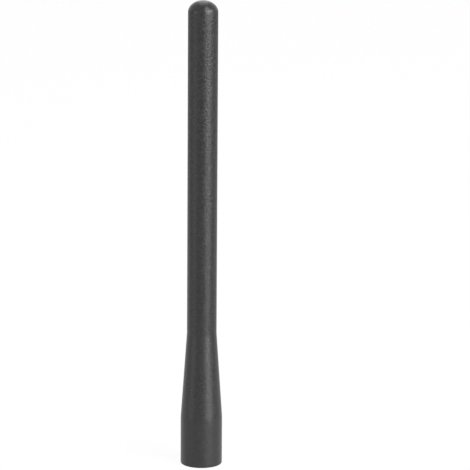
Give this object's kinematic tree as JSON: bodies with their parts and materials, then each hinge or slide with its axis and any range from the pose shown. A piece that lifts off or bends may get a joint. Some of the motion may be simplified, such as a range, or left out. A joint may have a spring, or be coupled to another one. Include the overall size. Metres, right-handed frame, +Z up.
{
  "type": "car mast aerial",
  "caption": "Short rubber-covered car mast aerial with a flared base, a domed tip and a threaded brass socket for its mounting stud.",
  "frame": {"origin": "centre of the base's seat face, on the mast's axis", "axes": "+Z up the mast from the seat face to the tip; the mast is round, so X and Y are free"},
  "size_m": [0.01, 0.01, 0.114],
  "materials": {
    "black_rubber": "matte, fine moulded grain",
    "ferrule_brass": "turned and knurled",
    "core_fibreglass": "drawn rod, satin",
    "winding_copper": "enamelled copper wire",
    "solder_tin": "bright solder",
    "sleeve_plastic": "shrunk tube, satin"
  },
  "bodies": {
    "root": {"rubber_sheath": "black_rubber", "base_ferrule": "ferrule_brass", "core_rod": "core_fibreglass", "winding": "winding_copper", "solder_joint": "solder_tin", "shrink_sleeve": "sleeve_plastic"}
  },
  "joints": []
}
